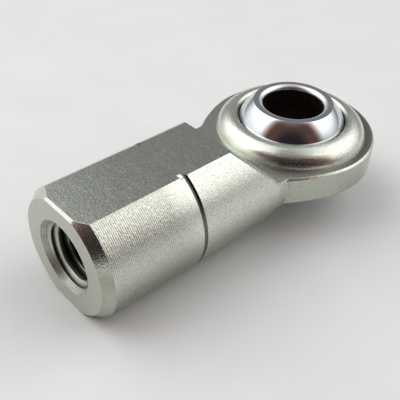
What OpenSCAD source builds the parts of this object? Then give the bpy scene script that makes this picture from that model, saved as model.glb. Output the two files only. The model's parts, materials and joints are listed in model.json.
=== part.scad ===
// Female rod end: a one-piece plated steel body whose thin eye is pressed
// around a swivelling ball, with a tapped, flatted shank.
//
// Frame: origin at the centre of the ball, +Z along the ball's bore,
// the shank runs towards -X. All lengths are in millimetres.

/* [Ball] */
// Diameter of the sphere
ball_d = 19.6; // [18.4:0.1:20.4]
// Width over the two flat faces
ball_w = 14.6; // [13:0.1:15.6]
// Diameter of the through bore for the bolt
bore_d = 10; // [8:0.1:11]
// Chamfer at both mouths of the bore
bore_chamfer = 0.35; // [0.1:0.05:0.6]

/* [Eye] */
// Outer diameter of the thin ring plate
head_d = 28; // [26.8:0.1:32]
// Thickness of the ring plate
plate_t = 4.8; // [4:0.1:5.6]
// Edge break on both rims of the ring plate
rim_chamfer = 0.3; // [0.1:0.05:0.5]
// Radius of the flatter shoulders that run from the ring plate to the neck
shoulder_r = 25; // [20:0.5:32]
// Angle from the far end of the eye at which a shoulder leaves the ring, in degrees
shoulder_from = 105; // [100:1:115]
// Width over the two swaged lips that hold the ball
boss_w = 9.8; // [9:0.1:11]
// Diameter of the swaged boss where it rises out of the plate
boss_base_d = 25; // [23.6:0.1:26]
// Diameter of the crown edge of each lip
lip_d = 18.8; // [18.4:0.1:19.4]
// Radial running clearance between the ball and its race
race_gap = 0.08; // [0.02:0.01:0.1]

/* [Shank] */
// Diameter of the shank
shank_d = 19.8; // [18.6:0.1:21]
// Width across the two wrench flats
flats_w = 17; // [16:0.1:18]
// Distance from the ball centre to the end face
shank_len = 45.25; // [42:0.25:60]
// Length of the chamfer around the end face, along the shank
end_chamfer = 1.45; // [0.8:0.05:1.8]
// Height of that chamfer, across the shank
end_chamfer_rise = 1.15; // [0.8:0.05:1.4]
// Edge break where each flat meets the end face
flat_end_break = 0.35; // [0.1:0.05:0.5]
// Distance from the ball centre to where the flats end and the ramps begin
ramp_start = 19.2; // [18.4:0.1:21]
// Slope of the ramps that run from the flats down to the ring plate, in degrees
ramp_angle = 45; // [40:1:55]
// Fillet at the foot of each ramp
foot_fillet_r = 0.8; // [0.3:0.1:1.2]
// Fillet in plan where the shank's flank meets a shoulder of the ring plate
neck_fillet_r = 2; // [1.75:0.25:3]

/* [Turned groove] */
// Distance from the end face to the middle of the groove
groove_from_end = 17.1; // [12:0.1:18]
// Width of the groove at the surface
groove_w = 0.7; // [0.6:0.05:1.2]
// Depth of the groove, with walls at 45 degrees
groove_depth = 0.24; // [0.1:0.02:0.28]

/* [Tapped hole] */
// Nominal diameter of the thread, which the wall of the hole follows
thread_d = 10; // [8:0.5:11]
// Length of full thread from the end face
thread_len = 20; // [16:0.5:21]
// Pitch of the thread, which sets the tapping drill seen past its end
thread_pitch = 1.5; // [1:0.25:1.75]
// Depth of the drilled hole at its full diameter
drill_depth = 22.5; // [21.5:0.5:23]
// Point angle of the drill, in degrees
drill_point = 118; // [90:1:135]
// Diameter of the 90 degree countersink at the end face
sink_d = 11.4; // [10.8:0.1:13]

/* [Hidden] */
$fn = 96;

// A cut runs past the surface it opens by this much
overrun = 1;
// Rounds and shoulders run into the faces they join by this much, so that they meet in a clean edge
bite = 0.01;

ball_r = ball_d / 2;
bore_r = bore_d / 2;
race_r = ball_r + race_gap;

head_r = head_d / 2;
plate_h = plate_t / 2;
boss_h = boss_w / 2;
lip_r = lip_d / 2;
boss_base_r = boss_base_d / 2;
// The boss is a quarter round, level at the lip's crown, that meets the plate at its base
boss_run = boss_base_r - lip_r;
boss_rise = boss_h - plate_h;
boss_round_r = (boss_run * boss_run + boss_rise * boss_rise) / (2 * boss_rise);

shank_r = shank_d / 2;
flat_h = flats_w / 2;
end_face_r = shank_r - end_chamfer_rise;
ramp_foot = ramp_start - (flat_h - plate_h) / tan(ramp_angle);
foot_reach = foot_fillet_r * tan(ramp_angle / 2);
// Plan view on the +Y side: where a shoulder leaves the ring, and the centre of its round
shoulder_out = [cos(shoulder_from), sin(shoulder_from)];
shoulder_centre = -(shoulder_r - head_r + bite) * shoulder_out;
// Upright axis of the fillet between the shank's flank and that shoulder
neck_axis_y = shank_r + neck_fillet_r;
neck_axis_back = sqrt(pow(shoulder_r + neck_fillet_r, 2) - pow(neck_axis_y - shoulder_centre[1], 2));
neck_axis = [shoulder_centre[0] - neck_axis_back, neck_axis_y];
groove_x = -shank_len + groove_from_end;

thread_r = thread_d / 2;
drill_r = (thread_d - thread_pitch) / 2;
sink_depth = (sink_d - thread_d) / 2;
drill_tip = drill_r / tan(drill_point / 2);

// Turns a shape drawn along +Z so that it runs along +X
module along_x() {
    rotate([0, 90, 0]) children();
}

// Draws its child and the child's mirror image below the middle plane
module both_faces() {
    children();
    mirror([0, 0, 1]) children();
}

// Turned shank: radius against distance along the axis
module shank_profile() {
    groove_floor = groove_w / 2 - groove_depth;
    polygon([
        [0, -shank_len],
        [end_face_r, -shank_len],
        [shank_r, -shank_len + end_chamfer],
        [shank_r, groove_x - groove_w / 2],
        [shank_r - groove_depth, groove_x - groove_floor],
        [shank_r - groove_depth, groove_x + groove_floor],
        [shank_r, groove_x + groove_w / 2],
        [shank_r, 0],
        [0, 0]
    ]);
}

// Side view of one flat, its ramp and half the plate's thickness
module flat_and_ramp() {
    polygon([
        [-shank_len, 0],
        [-shank_len, flat_h - flat_end_break],
        [-shank_len + flat_end_break, flat_h],
        [-ramp_start, flat_h],
        [-ramp_foot, plate_h],
        [0, plate_h],
        [0, 0]
    ]);
}

// Web in the hollow corner at the foot of a ramp, in side view
module foot_fillet() {
    difference() {
        polygon([
            [-ramp_foot - foot_reach * cos(ramp_angle), plate_h + foot_reach * sin(ramp_angle)],
            [-ramp_foot + foot_reach, plate_h],
            [-ramp_foot - foot_reach, plate_h / 2]
        ]);
        translate([-ramp_foot + foot_reach, plate_h + foot_fillet_r])
            circle(r = foot_fillet_r + bite);
    }
}

// Side view of the shank, the same above and below the middle plane
module side_profile() {
    for (face = [0, 1]) mirror([0, face]) {
        flat_and_ramp();
        foot_fillet();
    }
}

// Turned shank with its flats and ramps, run on at plate thickness to the ball centre
module shank() {
    intersection() {
        along_x() rotate_extrude() shank_profile();
        rotate([90, 0, 0]) linear_extrude(height = shank_d, center = true) side_profile();
    }
}

// Disc of plate thickness with broken rims
module plate_disc(r) {
    rotate_extrude() polygon([
        [0, -plate_h],
        [r - rim_chamfer, -plate_h],
        [r, -plate_h + rim_chamfer],
        [r, plate_h - rim_chamfer],
        [r - rim_chamfer, plate_h],
        [0, plate_h]
    ]);
}

// Shoulder on the +Y side, from where it leaves the ring to the neck fillet
module shoulder() {
    intersection() {
        translate(shoulder_centre) plate_disc(shoulder_r);
        linear_extrude(height = plate_t + 2 * overrun, center = true)
            polygon([[0, 0], (head_r + overrun) * shoulder_out, neck_axis, [neck_axis[0], 0]]);
    }
}

// Upright round that hollows the neck fillet. Its rim is hollow by the shank's own round,
// so that the fillet runs on from the shank's flank.
module neck_round() {
    height = plate_t + 2 * overrun;
    translate(neck_axis) rotate_extrude() difference() {
        translate([0, -height / 2]) square([neck_axis_y, height]);
        translate([neck_axis_y, 0]) circle(r = shank_r - bite);
    }
}

// Web with the neck fillet, in the corner between the shank's flank and the shoulder
module neck_web() {
    to_shoulder = (shoulder_centre - neck_axis) / norm(shoulder_centre - neck_axis);
    difference() {
        linear_extrude(height = plate_t, center = true)
            polygon([neck_axis, neck_axis + (neck_fillet_r + overrun) * to_shoulder, [neck_axis[0], 0]]);
        neck_round();
    }
}

// Thin eye: the ring plate, solid until the race is cut, and its shoulders on both sides
module eye_plate() {
    plate_disc(head_r);
    for (side = [0, 1]) mirror([0, side, 0]) {
        shoulder();
        neck_web();
    }
}

// Quarter-round bosses of metal pressed up around the ball
module swaged_boss() {
    rotate_extrude() {
        translate([0, -boss_h]) square([lip_r, boss_w]);
        translate([lip_r, boss_h - boss_round_r]) circle(r = boss_round_r);
        translate([lip_r, boss_round_r - boss_h]) circle(r = boss_round_r);
    }
}

// Spherical race, opened at both lips by a 45 degree bevel from the crown edge
module race_cut() {
    sphere(r = race_r);
    both_faces() cylinder(h = boss_h + overrun, r1 = lip_r - boss_h, r2 = lip_r + overrun);
}

// Blind tapped hole: countersink, thread at its nominal diameter, drill and drill point
module tapped_hole() {
    along_x() translate([0, 0, -shank_len]) rotate_extrude() polygon([
        [0, -overrun],
        [thread_r + sink_depth + overrun, -overrun],
        [thread_r, sink_depth],
        [thread_r, thread_len],
        [drill_r, thread_len],
        [drill_r, drill_depth],
        [0, drill_depth + drill_tip]
    ]);
}

// One solid piece: shank, thin eye and swaged boss
module rod_end_body() {
    color([0.78, 0.79, 0.76])
    difference() {
        union() {
            shank();
            eye_plate();
            swaged_boss();
        }
        race_cut();
        tapped_hole();
    }
}

// Truncated sphere with a chamfered through bore
module swivel_ball() {
    color([0.86, 0.88, 0.9])
    difference() {
        intersection() {
            sphere(r = ball_r);
            cylinder(h = ball_w, r = ball_r + overrun, center = true);
        }
        cylinder(h = ball_w + 2 * overrun, r = bore_r, center = true);
        both_faces() translate([0, 0, ball_w / 2 - bore_chamfer])
            cylinder(h = bore_chamfer + overrun, r1 = bore_r, r2 = bore_r + bore_chamfer + overrun);
    }
}

rod_end_body();
swivel_ball();
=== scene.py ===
"""Looks of the female rod end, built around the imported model: materials, ball, thread, light and camera.

Lengths are in millimetres until a mesh or an object is made, and in metres from there.
The frame is the part's own: origin at the ball's centre, +Z along the ball's bore, the shank towards -X.
"""
import json
import math
from types import SimpleNamespace

import bpy
from mathutils import Matrix, Vector


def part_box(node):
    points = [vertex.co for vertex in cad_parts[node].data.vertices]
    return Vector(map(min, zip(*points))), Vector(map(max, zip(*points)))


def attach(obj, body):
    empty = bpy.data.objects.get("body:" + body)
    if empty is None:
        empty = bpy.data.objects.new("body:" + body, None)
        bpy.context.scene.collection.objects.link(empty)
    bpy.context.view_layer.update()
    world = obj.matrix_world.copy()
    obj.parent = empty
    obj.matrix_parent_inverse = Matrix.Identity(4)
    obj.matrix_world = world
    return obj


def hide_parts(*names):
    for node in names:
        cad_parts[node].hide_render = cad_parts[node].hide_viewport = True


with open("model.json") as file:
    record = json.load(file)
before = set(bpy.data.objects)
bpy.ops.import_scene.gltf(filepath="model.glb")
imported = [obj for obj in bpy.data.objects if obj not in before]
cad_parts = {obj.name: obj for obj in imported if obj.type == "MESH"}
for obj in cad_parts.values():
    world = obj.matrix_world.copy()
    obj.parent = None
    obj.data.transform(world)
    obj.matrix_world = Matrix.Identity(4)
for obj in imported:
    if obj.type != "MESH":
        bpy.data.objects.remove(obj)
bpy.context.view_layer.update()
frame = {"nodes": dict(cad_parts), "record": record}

MM = 0.001

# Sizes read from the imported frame
body_low, body_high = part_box("rod_end_body")
ball_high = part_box("swivel_ball")[1]
mounts = {mount["name"]: mount for mount in frame["record"]["mounts"]}
bore_size = mounts["ball_bore"]["dims"]
thread_size = mounts["shank_thread"]["dims"]
thread_middle_x = mounts["shank_thread"]["pos_m"][0] / MM
END_X = body_low.x / MM
FLAT_Z = body_high.z / MM
BALL_R = ball_high.y / MM
BALL_FACE_Z = ball_high.z / MM
BORE_R = bore_size["r_mm"]
BORE_CHAMFER = BALL_FACE_Z - bore_size["length_mm"] / 2
THREAD_R = thread_size["r_mm"]
# The wall of the tapped hole starts where the countersink ends
SINK_DEPTH = thread_middle_x - thread_size["length_mm"] / 2 - END_X

# Sizes repeated from the part's source
SHANK_R = 9.9
END_CHAMFER = 1.45
END_CHAMFER_RISE = 1.15
RAMP_START_X = -19.2
PLATE_Z = 2.4
BOSS_BASE_R = 12.5
LIP_R = 9.4
GROOVE_FROM_END = 17.1
GROOVE_W = 0.7
THREAD_PITCH = 1.5
THREAD_LEN = 20

# Places that follow from those sizes: the ramps slope at 45 degrees
END_FACE_R = SHANK_R - END_CHAMFER_RISE
RAMP_FOOT_X = RAMP_START_X + FLAT_Z - PLATE_Z
GROOVE_X = END_X + GROOVE_FROM_END
SINK_R = THREAD_R + SINK_DEPTH
SINK_END_X = END_X + SINK_DEPTH

# Where the shank's flank turns into the wall of the ring plate
NECK_X = -12.5
# A place between the bottom of the tapped hole and the eye
PAST_HOLE_X = -18
# Pitch of the turned rings on the flank
RING_PITCH = 0.293
# A burr beside the groove: its inner edge, its outer edge and where its slope comes down to the flat
BURR_INNER_Y = 4.3
BURR_OUTER_Y = 5.2
BURR_FOOT_Y = 5.1
# Radius of the worn round at each mouth of the ball's bore, which follows the chamfer within 0.15 mm
MOUTH_R = BORE_CHAMFER * 2.3

# Colours of the metal surfaces under white light, and painted shade and reflection where marked
ZINC = (0.76, 0.785, 0.7)
ZINC_DULL = (0.57, 0.59, 0.52)
# ZINC_LOW is also painted shade and dark reflection, low on the flank and on the chamfer; it darkens the wall
# as well
ZINC_LOW = (0.455, 0.475, 0.395)
ZINC_MILLED = (0.52, 0.545, 0.495)
ZINC_MILLED_DARK = (0.42, 0.44, 0.40)
# Painted shade of the gap between the boss's lip and the ball
LIP_GAP_SHADE = (0.22, 0.23, 0.22)
# Dark of pits and tool lines, also used as painted shade and dark reflection on the flank, the chamfer and
# the plate
PITS_AND_PAINTED_SHADE = (0.16, 0.15, 0.13)
# Painted shade in the groove, paler low on the shank and deepest at its top
GROOVE_SHADE_PALE = (0.17, 0.165, 0.13)
GROOVE_SHADE_DEEP = (0.09, 0.085, 0.06)
# Painted shade in the tapped hole: grey in the thread's roots near its mouth and near black deeper in, which
# is also the dark steel of the ball's bore
THREAD_ROOT_SHADE = (0.2, 0.195, 0.175)
DARK_STEEL_AND_DEPTH_SHADE = (0.05, 0.048, 0.045)
CHROME = (0.7, 0.735, 0.76)
CHROME_GROUND = (0.5, 0.54, 0.6)
CHROME_WORN = (0.85, 0.86, 0.84)
BORE_BROWN = (0.13, 0.095, 0.08)

# The table top: its two tones, the size of its blotches, 60 to a metre, and half its width
TABLE_DARK = (0.86, 0.868, 0.87)
TABLE_PALE = (0.89, 0.898, 0.9)
TABLE_BLOTCH = 1000 / 60
TABLE_HALF = 2000

# The room around the part: an azimuth and an elevation for each bright or dark place, and then the angles
# from there at which it ends and at which it begins to fade, all in degrees
LEFT_WINDOW = (122, 32, 52, 20)
RIGHT_WINDOW = (-32, 42, 48, 20)
DIM_FRONT = (225, 17, 70, 47)
DARK_CORE = (225, 15, 43, 17)
WINDOW_LEVEL = 1.4
ROOM_LEVEL = 0.31
DIM_LEVEL = 0.118
CORE_DROP = 0.086
WHITE = (1, 1, 1)
DIM_COLOUR = (1, 0.56, 0.46)
CORE_COLOUR = (0.8, 0.65, 0.7)


class Field:
    """A number that varies over a surface, held as a node's output. Arithmetic on fields adds math nodes."""

    def __init__(self, tree, socket):
        self.tree = tree
        self.socket = socket

    def math(self, operation, *others):
        node = self.tree.nodes.new("ShaderNodeMath")
        node.operation = operation
        for slot, value in zip(node.inputs, (self, *others)):
            plug(self.tree, value, slot)
        return Field(self.tree, node.outputs[0])

    def __add__(self, other):
        return self.math("ADD", other)

    def __sub__(self, other):
        return self.math("SUBTRACT", other)

    def __mul__(self, other):
        return self.math("MULTIPLY", other)

    def __abs__(self):
        return self.math("ABSOLUTE")

    def __neg__(self):
        return self * -1

    def inverse(self):
        return -self + 1

    def capped(self, most):
        return self.math("MINIMUM", most)

    def step(self, low, high):
        """Rises smoothly from 0 at low to 1 at high, or falls where low is the larger."""
        node = self.tree.nodes.new("ShaderNodeMapRange")
        node.interpolation_type = "SMOOTHSTEP"
        plug(self.tree, self, node.inputs["Value"])
        node.inputs["From Min"].default_value = low
        node.inputs["From Max"].default_value = high
        return Field(self.tree, node.outputs["Result"])

    def band(self, low, high, soft):
        """Is 1 from low to high and falls to 0 within soft outside them."""
        return self.step(low - soft, low) * self.step(high + soft, high)

    def wave(self, pitch):
        """Sine wave between -1 and 1 with that pitch."""
        return (self * (2 * math.pi / pitch)).math("SINE")

    def ripple(self, pitch):
        """Sine wave between 0 and 1 with that pitch."""
        return self.wave(pitch) * 0.5 + 0.5


def plug(tree, value, slot):
    """Links a field to a node's input, or writes a plain value into it."""
    if isinstance(value, Field):
        tree.links.new(value.socket, slot)
    else:
        slot.default_value = value


def plug_colour(tree, colour, slot):
    """Links a colour field to a node's input, or writes a plain colour into it."""
    plug(tree, colour if isinstance(colour, Field) else (*colour, 1), slot)


def blend(tree, mask, colour_off, colour_on):
    """A colour field: colour_off where the mask is 0 and colour_on where it is 1."""
    node = tree.nodes.new("ShaderNodeMix")
    node.data_type = "RGBA"
    plug(tree, mask, node.inputs["Factor"])
    slots = [slot for slot in node.inputs if slot.type == "RGBA"]
    for slot, colour in zip(slots, (colour_off, colour_on)):
        plug_colour(tree, colour, slot)
    out = [slot for slot in node.outputs if slot.type == "RGBA"][0]
    return Field(tree, out)


def axes(tree, vector):
    """The three parts of a vector as fields."""
    node = tree.nodes.new("ShaderNodeSeparateXYZ")
    tree.links.new(vector, node.inputs[0])
    return [Field(tree, out) for out in node.outputs]


def radius(across, over):
    """Distance from the axis that two fields are measured from."""
    return (across * across + over * over).math("SQRT")


class Surface:
    """A new material, with place and normal on the surface as fields, the place in millimetres."""

    def __init__(self, name, metallic=1):
        self.material = bpy.data.materials.new(name)
        self.material.use_nodes = True
        self.tree = self.material.node_tree
        self.shader = self.tree.nodes["Principled BSDF"]
        self.shader.inputs["Metallic"].default_value = metallic
        where = self.tree.nodes.new("ShaderNodeTexCoord")
        scale = self.tree.nodes.new("ShaderNodeVectorMath")
        scale.operation = "SCALE"
        scale.inputs["Scale"].default_value = 1 / MM
        self.tree.links.new(where.outputs["Object"], scale.inputs[0])
        self.place = scale.outputs[0]
        self.x, self.y, self.z = axes(self.tree, self.place)
        normal = axes(self.tree, where.outputs["Normal"])
        self.nx = normal[0]
        self.nz = normal[2]

    def stretched(self, x, y, z):
        """The place with each axis multiplied by a number, for a pattern that is longer one way."""
        node = self.tree.nodes.new("ShaderNodeVectorMath")
        node.operation = "MULTIPLY"
        self.tree.links.new(self.place, node.inputs[0])
        node.inputs[1].default_value = (x, y, z)
        return node.outputs[0]

    def joined(self, x, y, z):
        """A vector of three fields, for a pattern that follows a round surface."""
        node = self.tree.nodes.new("ShaderNodeCombineXYZ")
        for slot, value in zip(node.inputs, (x, y, z)):
            plug(self.tree, value, slot)
        return node.outputs[0]

    def noise(self, size, detail=2.0, place=None):
        """Cloudy noise around 0.5 whose blotches are about size millimetres across."""
        node = self.tree.nodes.new("ShaderNodeTexNoise")
        node.inputs["Scale"].default_value = 1 / size
        node.inputs["Detail"].default_value = detail
        self.tree.links.new(place or self.place, node.inputs["Vector"])
        return Field(self.tree, node.outputs["Fac"])

    def blend(self, mask, colour_off, colour_on):
        return blend(self.tree, mask, colour_off, colour_on)

    def finish(self, colour, roughness, height=None, edge_round=None):
        """Sends colour, roughness and a bump height in millimetres to the shader."""
        plug_colour(self.tree, colour, self.shader.inputs["Base Color"])
        plug(self.tree, roughness, self.shader.inputs["Roughness"])
        if height is not None:
            self.bump(height, edge_round)
        return self.material

    def bump(self, height, edge_round):
        """Sends a bump height to the shader, over edges that look rounded by edge_round millimetres."""
        bump = self.tree.nodes.new("ShaderNodeBump")
        bump.inputs["Strength"].default_value = 1
        bump.inputs["Distance"].default_value = MM
        plug(self.tree, height, bump.inputs["Height"])
        if edge_round:
            bevel = self.tree.nodes.new("ShaderNodeBevel")
            bevel.samples = 6
            bevel.inputs["Radius"].default_value = edge_round * MM
            self.tree.links.new(bevel.outputs[0], bump.inputs["Normal"])
        self.tree.links.new(bump.outputs[0], self.shader.inputs["Normal"])


def body_regions(steel):
    """Masks of the body's finishes, each 1 on its own surface, and the distances from both axes."""
    x, y, z = steel.x, steel.y, steel.z
    side = abs(z)
    up = abs(steel.nz)
    level = up.step(0.9, 0.96)
    shank_radius = radius(y, z)
    eye_radius = radius(x, y)

    # Milled faces: the flats, the ramps and the plate up to the boss
    off_boss = eye_radius.step(BOSS_BASE_R - 0.1, BOSS_BASE_R)
    flat = side.step(FLAT_Z - 0.06, FLAT_Z - 0.02) * level
    ramp = x.step(RAMP_FOOT_X + 0.7, RAMP_FOOT_X + 0.4) * steel.nx.step(0.3, 0.5)
    plate = side.band(PLATE_Z - 0.04, PLATE_Z + 0.04, 0.02) * level * off_boss
    milled = (flat + ramp + plate).capped(1)

    # Turned faces: the flank, the collar beside the groove, the groove, the end face and its chamfer
    flank = shank_radius.step(SHANK_R - 0.06, SHANK_R - 0.02) * abs(steel.nx).step(0.3, 0.1)
    flank = flank * milled.inverse()
    collar = x.band(GROOVE_X - 1.2, GROOVE_X - 0.3, 0.1) * flank
    groove = x.band(GROOVE_X - GROOVE_W / 2 + 0.02, GROOVE_X + GROOVE_W / 2, 0.04) * milled.inverse()
    groove = groove * shank_radius.band(SHANK_R - 0.3, SHANK_R - 0.05, 0.04)
    end_face = (-steel.nx).step(0.9, 0.97) * x.step(END_X + 0.05, END_X + 0.02)
    chamfer = x.step(END_X + END_CHAMFER + 0.05, END_X + END_CHAMFER)
    chamfer = chamfer * shank_radius.step(END_FACE_R - 0.1, END_FACE_R) * (-steel.nx).band(0.55, 0.7, 0.05)

    # The countersink and the tapped hole
    near_end = x.step(END_X + 5.25, END_X + 2.25)
    sink = shank_radius.step(SINK_R + 0.05, SINK_R) * near_end
    hole = shank_radius.step(THREAD_R + 0.08, THREAD_R + 0.02) * x.step(PAST_HOLE_X + 3, PAST_HOLE_X)

    # The eye: its pressed boss, the foot of the lip inside that, where the shade of the gap to the ball is
    # painted, and the wall around the plate
    boss = eye_radius.step(BOSS_BASE_R + 0.02, BOSS_BASE_R - 0.05) * side.step(PLATE_Z - 0.1, PLATE_Z)
    lip_gap_shade = eye_radius.step(LIP_R - 0.25, LIP_R - 0.45)
    wall = side.step(PLATE_Z, PLATE_Z - 0.3) * up.step(0.3, 0.1) * x.step(NECK_X, NECK_X + 1.5)
    return SimpleNamespace(
        shank_radius=shank_radius, eye_radius=eye_radius, flat=flat, plate=plate, milled=milled, flank=flank,
        collar=collar, groove=groove, end_face=end_face, chamfer=chamfer, sink=sink, hole=hole, boss=boss,
        lip_gap_shade=lip_gap_shade, wall=wall, past_groove=x.step(GROOVE_X - 3, GROOVE_X + 1))


def body_marks(steel, on):
    """Patterns that plating, tools and wear left on the body, as fields that are 0 where there is none."""
    x, y, z = steel.x, steel.y, steel.z
    side = abs(z)

    # Grain of the plating, faint where the metal was pressed, turned smooth or rubbed
    grain = steel.noise(0.24).step(0.34, 0.66)
    rubbed = (on.boss * 0.75 + on.collar * 0.7 + on.wall * 0.5 + on.flank * 0.35).capped(0.8)
    # Small pits, with more of them past the groove
    pits = steel.noise(0.2, 1).step(0.66, 0.72) * (on.past_groove * 0.6 + 0.4) * on.flank

    # Turned rings, from the end face to a little before the groove
    rings = x.step(GROOVE_X - 1.5, GROOVE_X - 5) * (z.step(-3, 3) * 0.9 + 0.1) * on.flank
    ring_lines = x.ripple(RING_PITCH) * (steel.noise(0.3).step(0.3, 0.6) * 0.6 + 0.4) * rings

    # Faint circles and streaks left by the press on the boss, and lines left by the countersink's tool
    circles = on.eye_radius.wave(0.5) * steel.noise(3).step(0.4, 0.7) * on.boss
    around = y.math("ARCTAN2", x)
    streak_place = steel.joined(around * 7, on.eye_radius * 4, z * 4)
    boss_lines = steel.noise(1, 3, streak_place).step(0.3, 0.7) * on.boss
    sink_lines = on.shank_radius.ripple(0.24) * steel.noise(1.2).step(0.35, 0.6) * on.sink

    # Milling lines across the flats, the ramps and the plate, and tool lines up the neck
    mill_lines = steel.noise(0.3, 2, steel.stretched(1, 0.1, 1)).step(0.5, 0.75) * on.milled
    neck = x.band(NECK_X - 0.4, NECK_X + 1.2, 0.3) * side.step(PLATE_Z + 0.3, PLATE_Z)
    neck = neck * abs(steel.nz).step(0.4, 0.2)
    neck_lines = steel.noise(0.3, 1, steel.stretched(1, 1, 0.06)).step(0.5, 0.6) * neck

    # Burrs raised by the groove's tool, on the upper flat beside both ends of the groove
    burr = x.band(GROOVE_X - 0.85, GROOVE_X - 0.3, 0.05) * abs(y).band(BURR_INNER_Y, BURR_OUTER_Y, 0.08)
    burr = burr * z.step(FLAT_Z - 0.5, FLAT_Z - 0.1)
    # Bright worn edge where the flank meets the ramps
    ramp_edge = RAMP_FOOT_X + PLATE_Z
    worn_edge = (x + side).step(ramp_edge - 0.5, ramp_edge) * on.flank
    worn_edge = worn_edge * x.band(RAMP_START_X - 0.3, RAMP_FOOT_X, 0.3)
    return SimpleNamespace(
        grain=grain, plating_grain=grain * rubbed.inverse(), fine=steel.noise(0.2, 1).step(0.4, 0.6),
        stains=steel.noise(0.7).step(0.4, 0.7), pits=pits, ring_lines=ring_lines, circles=circles,
        boss_lines=boss_lines, sink_lines=sink_lines, mill_lines=mill_lines, neck_lines=neck_lines, burr=burr,
        worn_edge=worn_edge)


def body_colour(steel, on, marks):
    """Colour of the body: bright plating, with each layer laid over the ones before it."""
    x, y, z = steel.x, steel.y, steel.z
    # Painted dark reflection on the lower part of the end chamfer, with stains
    chamfer_reflection_and_stains = steel.blend(marks.stains * 0.18 + z.step(-3, 4) * 0.24, ZINC_LOW, PITS_AND_PAINTED_SHADE)
    # Painted dark reflection on the near side of the plate, beside the boss
    plate_dark_reflection = y.step(3, -3) * on.eye_radius.step(BOSS_BASE_R + 3, BOSS_BASE_R)
    layers = [
        # Dull, stained plating on the wall, streaks on the boss and lines in the countersink; painted shade
        # and dark reflection low on the flank and on the chamfer
        (on.wall * 0.9 + on.chamfer * 0.5 + on.sink * 0.6, ZINC_DULL),
        # Painted shade and dark reflection, darker towards the bottom of the flank; the wall darker too
        (on.flank * z.step(2, -4) + on.wall * 0.5, ZINC_LOW),
        (marks.stains * on.wall * 0.4, ZINC_MILLED_DARK),
        (marks.boss_lines * 0.35 + on.boss * 0.12, ZINC_DULL),
        # Painted dark reflection low on the chamfer
        (on.chamfer * z.step(4.5, 2), chamfer_reflection_and_stains),
        # Painted shade low on the flank towards the end
        (on.flank * z.step(3, -3) * on.past_groove.inverse() * 0.2, PITS_AND_PAINTED_SHADE),
        (marks.sink_lines * 0.38 + on.sink * 0.3, PITS_AND_PAINTED_SHADE),
        # Grey milled faces with bright lines, and a painted dark reflection of the boss on the near side of
        # the plate beside it
        (on.milled, steel.blend(marks.grain, ZINC_MILLED_DARK, ZINC_MILLED)),
        (marks.mill_lines * 0.35, ZINC),
        (on.plate * plate_dark_reflection * 0.9, PITS_AND_PAINTED_SHADE),
        # Bright worn metal, dark tool marks and pits
        ((marks.burr + marks.worn_edge).capped(1), ZINC),
        (marks.neck_lines * 0.3, PITS_AND_PAINTED_SHADE),
        (marks.pits * 0.6, PITS_AND_PAINTED_SHADE),
        (marks.ring_lines * 0.5, PITS_AND_PAINTED_SHADE),
        # The end face in plain dull plating, then painted shade: at the foot of the lip, in the groove, and
        # in the tapped hole, darker deeper in
        (on.end_face, ZINC_DULL),
        # Painted shade of the gap between the lip and the ball
        (on.lip_gap_shade, LIP_GAP_SHADE),
        # Painted shade in the groove, deepest at its top
        (on.groove, steel.blend(z.step(2, 6), GROOVE_SHADE_PALE, GROOVE_SHADE_DEEP)),
        # Painted shade in the tapped hole, darker deeper in
        (on.hole, steel.blend(x.step(END_X + 4, END_X + 2), DARK_STEEL_AND_DEPTH_SHADE, THREAD_ROOT_SHADE)),
    ]
    colour = steel.blend(marks.plating_grain, ZINC, ZINC_DULL)
    for mask, tone in layers:
        colour = steel.blend(mask, colour, tone)
    return colour


def body_height(steel, on, marks):
    """Bump height of the body in millimetres."""
    height = marks.plating_grain * (on.flank * 0.012 + on.milled * 0.006 + on.chamfer * 0.004 + 0.004)
    height = height + marks.fine * (on.boss * -0.003 + 0.004) + marks.ring_lines * 0.018
    height = height + marks.circles * 0.003 + marks.boss_lines * 0.005 + marks.sink_lines * 0.006
    height = height - marks.pits * 0.012 + marks.mill_lines * 0.004 - marks.worn_edge * 0.25
    # A burr leans over the edge of its flat
    return height + (-abs(steel.y) + BURR_FOOT_Y) * marks.burr * 0.6


def plated_steel():
    """Zinc plating over the whole body: milled flats, a turned flank, a pressed boss and a tapped hole."""
    steel = Surface("zinc_plated_steel")
    on = body_regions(steel)
    marks = body_marks(steel, on)
    roughness = on.flat * 0.01 + on.plate * 0.04 + on.flank * 0.04 + on.end_face * 0.16 + on.sink * 0.16
    roughness = roughness - on.chamfer * 0.03 - on.boss * 0.06
    roughness = roughness + marks.boss_lines * 0.08 + marks.fine * 0.06 + 0.22
    colour = body_colour(steel, on, marks)
    height = body_height(steel, on, marks)
    return steel.finish(colour, roughness, height, edge_round=0.12)


def polished_chrome():
    """Mirror chrome on the ball's sphere, with faint uneven polish."""
    chrome = Surface("polished_chrome")
    return chrome.finish(CHROME, chrome.noise(2, 3) * 0.05 + 0.05, chrome.noise(3, 1) * 0.002)


def satin_chrome():
    """Ground chrome on the ball's two flat faces, worn pale at the mouths of its bore."""
    chrome = Surface("satin_chrome")
    from_axis = radius(chrome.x, chrome.y)
    lines = from_axis.wave(0.17) * chrome.noise(1.5)
    mouth = from_axis.step(BORE_R + 0.8, BORE_R + 0.6)
    colour = chrome.blend(mouth, CHROME_GROUND, CHROME_WORN)
    return chrome.finish(colour, chrome.noise(0.5, 3) * 0.06 + mouth * 0.22 + 0.08, lines * 0.001)


def dark_bore():
    """Bare, oiled steel inside the ball's bore."""
    steel = Surface("oiled_steel_bore")
    lines = steel.noise(0.6, 2, steel.stretched(1, 1, 6))
    colour = steel.blend(lines.step(0.4, 0.7), BORE_BROWN, DARK_STEEL_AND_DEPTH_SHADE)
    return steel.finish(colour, lines * 0.2 + 0.3, lines * 0.004)


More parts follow.
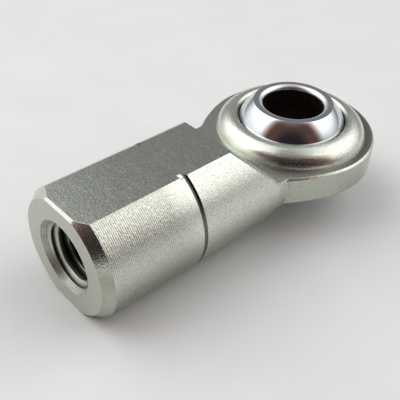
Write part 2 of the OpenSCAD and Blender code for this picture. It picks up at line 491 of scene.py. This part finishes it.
def thread_steel():
    """Cut thread, with painted shade: pale crests and grey roots near the mouth, near black deeper in the
    hole, pale where the countersink cut it.
    """
    steel = Surface("cut_thread_steel")
    from_axis = radius(steel.y, steel.z)
    cone_sum = END_X + SINK_R
    cone = (steel.x + from_axis).band(cone_sum - 0.04, cone_sum + 0.02, 0.02)
    crest = from_axis.step(THREAD_R - 0.1, THREAD_R - 0.5)
    near = steel.x.step(END_X + 5, END_X + 2)
    # Painted shade, darker deeper into the hole and in the thread's roots
    root_shade = steel.blend(near, DARK_STEEL_AND_DEPTH_SHADE, THREAD_ROOT_SHADE)
    crest_with_depth_shade = steel.blend(near, DARK_STEEL_AND_DEPTH_SHADE, ZINC_DULL)
    colour = steel.blend(crest, root_shade, crest_with_depth_shade)
    colour = steel.blend(cone, colour, ZINC_DULL)
    return steel.finish(colour, steel.noise(0.4) * 0.1 + 0.32, steel.noise(0.2) * 0.006)


def mesh_object(name, vertices, faces, materials, face_materials=None, smooth=True):
    """A new object from vertices in millimetres, with one material for each face."""
    mesh = bpy.data.meshes.new(name)
    mesh.from_pydata([Vector(v) * MM for v in vertices], [], faces)
    for material in materials:
        mesh.materials.append(material)
    for index, face in enumerate(mesh.polygons):
        face.use_smooth = smooth
        face.material_index = face_materials[index] if face_materials else 0
    mesh.update()
    thing = bpy.data.objects.new(name, mesh)
    bpy.context.scene.collection.objects.link(thing)
    return thing


def arc(centre, size, start, end, count):
    """Points on an arc in the plane of radius and height, with angles in degrees from the radius axis."""
    angles = [math.radians(start + (end - start) * i / count) for i in range(count + 1)]
    return [(centre[0] + size * math.cos(a), centre[1] + size * math.sin(a)) for a in angles]


def ball_section():
    """Closed section of the ball as points of radius and height, and the material of each stretch of it."""
    sphere_steps, edge_steps, mouth_steps, bore_steps = 48, 6, 12, 8
    # A point close to each end of a straight stretch keeps its shading flat
    margin = 0.03
    # The rounded edge between sphere and face touches both
    edge = 0.1
    edge_z = BALL_FACE_Z - edge
    edge_r = math.sqrt((BALL_R - edge) ** 2 - edge_z ** 2)
    sphere_end = math.degrees(math.atan2(edge_z, edge_r))
    mouth_z = BALL_FACE_Z - MOUTH_R
    upper = arc((0, 0), BALL_R, 0, sphere_end, sphere_steps)
    upper += arc((edge_r, edge_z), edge, sphere_end, 90, edge_steps)[1:]
    upper += [(edge_r - margin, BALL_FACE_Z), (BORE_R + MOUTH_R + margin, BALL_FACE_Z)]
    upper += arc((BORE_R + MOUTH_R, mouth_z), MOUTH_R, 90, 180, mouth_steps)
    upper += [(BORE_R, mouth_z - margin)]
    upper += [(BORE_R, mouth_z * (1 - i / bore_steps)) for i in range(1, bore_steps)]
    section = upper + [(BORE_R, 0)] + [(r, -z) for r, z in reversed(upper[1:])]
    # Places in the list of materials that swivel_ball makes
    sphere, face, bore = range(3)
    finishes = []
    for (r0, z0), (r1, z1) in zip(section, section[1:] + section[:1]):
        middle_r = (r0 + r1) / 2
        middle_z = abs(z0 + z1) / 2
        on_bore = middle_r < BORE_R + 0.005
        on_face = middle_z > edge_z + edge * 0.6 or middle_r < BORE_R + MOUTH_R
        finishes.append(bore if on_bore else face if on_face else sphere)
    return section, finishes


def swivel_ball():
    """The ball at mirror resolution: one closed section turned about Z, with its edges rounded a little."""
    turns = 256
    section, finishes = ball_section()
    count = len(section)
    vertices = []
    faces = []
    for turn in range(turns):
        a = 2 * math.pi * turn / turns
        vertices += [(r * math.cos(a), r * math.sin(a), z) for r, z in section]
        here = turn * count
        there = (turn + 1) % turns * count
        for i in range(count):
            j = (i + 1) % count
            faces.append((here + i, there + i, there + j, here + j))
    materials = [polished_chrome(), satin_chrome(), dark_bore()]
    return mesh_object("chromed_ball", vertices, faces, materials, finishes * turns)


def tapped_thread():
    """Right-hand helical ridges on the wall of the tapped hole, cut back by the countersink's cone."""
    # Steps to a turn, and parts across a ridge
    steps = 96
    parts = 24
    # The ridges run into the wall and past the edge of the countersink by this much
    sunk = 0.02
    # Five eighths of the height of a sharp thread, with flanks at 60 degrees and a crest of a quarter pitch
    depth = 0.812
    flank_slope = math.tan(math.radians(30))
    foot_half = THREAD_PITCH / 8 + depth * flank_slope
    # The cut face of the ridges stands this far out of the countersink's cone
    proud = 0.01
    # Middle of the first ridge on the +Y side
    first_left = END_X + 0.59
    first = SINK_END_X - foot_half + sunk
    last = END_X + THREAD_LEN - foot_half
    total = int((last - first) / THREAD_PITCH * steps)
    vertices = []
    for k in range(total + 1):
        along = first + THREAD_PITCH * k / steps
        a = 2 * math.pi * (along - first_left) / THREAD_PITCH
        low = max(along - foot_half, SINK_END_X - sunk)
        high = along + foot_half
        for i in range(parts + 1):
            px = low + (high - low) * i / parts
            rise = min((foot_half - abs(px - along)) / flank_slope, depth)
            cone = THREAD_R + SINK_END_X - px - proud
            ridge_r = min(max(THREAD_R + sunk - rise, cone), THREAD_R + sunk)
            vertices.append((px, ridge_r * math.cos(a), ridge_r * math.sin(a)))
    count = parts + 1
    faces = []
    for k in range(total):
        for i in range(count):
            j = (i + 1) % count
            faces.append((k * count + i, k * count + j, (k + 1) * count + j, (k + 1) * count + i))
    faces.append(tuple(range(count - 1, -1, -1)))
    faces.append(tuple(total * count + i for i in range(count)))
    return mesh_object("tapped_thread", vertices, faces, [thread_steel()])


def pale_floor():
    """A pale matt table top under the part, faintly mottled."""
    table = Surface("pale_table", metallic=0)
    mottle = table.noise(TABLE_BLOTCH, 4).step(0.3, 0.7)
    material = table.finish(table.blend(mottle, TABLE_DARK, TABLE_PALE), 0.7)
    signs = [(-1, -1), (1, -1), (1, 1), (-1, 1)]
    corners = [(x * TABLE_HALF, y * TABLE_HALF, -FLAT_Z) for x, y in signs]
    floor = mesh_object("table_top", corners, [(0, 1, 2, 3)], [material], smooth=False)


def direction(azimuth, elevation):
    """Unit vector at an azimuth from +X towards +Y and an elevation, in degrees."""
    a = math.radians(azimuth)
    e = math.radians(elevation)
    return Vector((math.cos(e) * math.cos(a), math.cos(e) * math.sin(a), math.sin(e)))


def studio_world():
    """A soft room: mid grey behind, bright to the left and upper right, dim and warm in front."""
    world = bpy.data.worlds.new("studio")
    bpy.context.scene.world = world
    world.use_nodes = True
    tree = world.node_tree
    back = tree.nodes["Background"]
    looking = tree.nodes.new("ShaderNodeTexCoord").outputs["Generated"]
    height = axes(tree, looking)[2]

    def towards(azimuth, elevation, edge, core):
        """Is 1 within core degrees of a direction and falls to 0 at edge degrees."""
        dot = tree.nodes.new("ShaderNodeVectorMath")
        dot.operation = "DOT_PRODUCT"
        tree.links.new(looking, dot.inputs[0])
        dot.inputs[1].default_value = direction(azimuth, elevation)
        level = Field(tree, dot.outputs["Value"])
        return level.step(math.cos(math.radians(edge)), math.cos(math.radians(core)))

    # The windows are weaker near the table and straight above
    windows = towards(*LEFT_WINDOW) + towards(*RIGHT_WINDOW)
    windows = windows * (height.step(0.05, 0.65) * 0.5 + 0.5) * (height.step(1, 0.8) * 0.65 + 0.35)
    front = towards(*DIM_FRONT) * height.step(0.97, 0.78)
    core = towards(*DARK_CORE)
    bright = windows * WINDOW_LEVEL + ROOM_LEVEL
    dim = core * -CORE_DROP + DIM_LEVEL
    level = bright * front.inverse() + dim * front
    plug(tree, level, back.inputs["Strength"])
    dim_colour = blend(tree, core, DIM_COLOUR, CORE_COLOUR)
    plug(tree, blend(tree, front, WHITE, dim_colour), back.inputs["Color"])


def area_lamp(name, azimuth, elevation, distance, size, power):
    """A square soft lamp that faces the part."""
    lamp = bpy.data.lights.new(name, "AREA")
    lamp.size = size * MM
    lamp.energy = power
    thing = bpy.data.objects.new(name, lamp)
    place = direction(azimuth, elevation)
    thing.location = place * distance * MM
    thing.rotation_euler = place.to_track_quat("Z", "Y").to_euler()
    bpy.context.scene.collection.objects.link(thing)


def photo_camera():
    """The camera where the photograph was taken, tipped a little to one side."""
    # Where the camera stands and how far it is tipped, in degrees
    azimuth, elevation, roll = 226.34, 38.92, 2.23
    # The ball's centre lies this far right of the line of sight, above it and in front of the camera
    right_of, above, in_front = 15.12, 10.53, 113.35
    back = direction(azimuth, elevation)
    level_right = Vector((0, 0, 1)).cross(back).normalized()
    level_up = back.cross(level_right)
    turn = math.radians(roll)
    right = level_right * math.cos(turn) + level_up * math.sin(turn)
    up = level_up * math.cos(turn) - level_right * math.sin(turn)
    data = bpy.data.cameras.new("photo_camera")
    data.sensor_width = 36
    data.lens = 59.67
    data.clip_start = 0.005
    camera = bpy.data.objects.new("photo_camera", data)
    turned = Matrix((right, up, back)).transposed().to_4x4()
    turned.translation = (back * in_front - right * right_of - up * above) * MM
    camera.matrix_world = turned
    bpy.context.scene.collection.objects.link(camera)
    bpy.context.scene.camera = camera


body_node = frame["nodes"]["rod_end_body"]
body_node.data.materials[0] = plated_steel()

ball = swivel_ball()
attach(ball, "ball")
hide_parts("swivel_ball")

thread = tapped_thread()
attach(thread, "body")

pale_floor()
studio_world()
area_lamp("window_lamp", azimuth=115, elevation=58, distance=450, size=420, power=0.45)
photo_camera()
bpy.context.scene.view_settings.view_transform = "Standard"
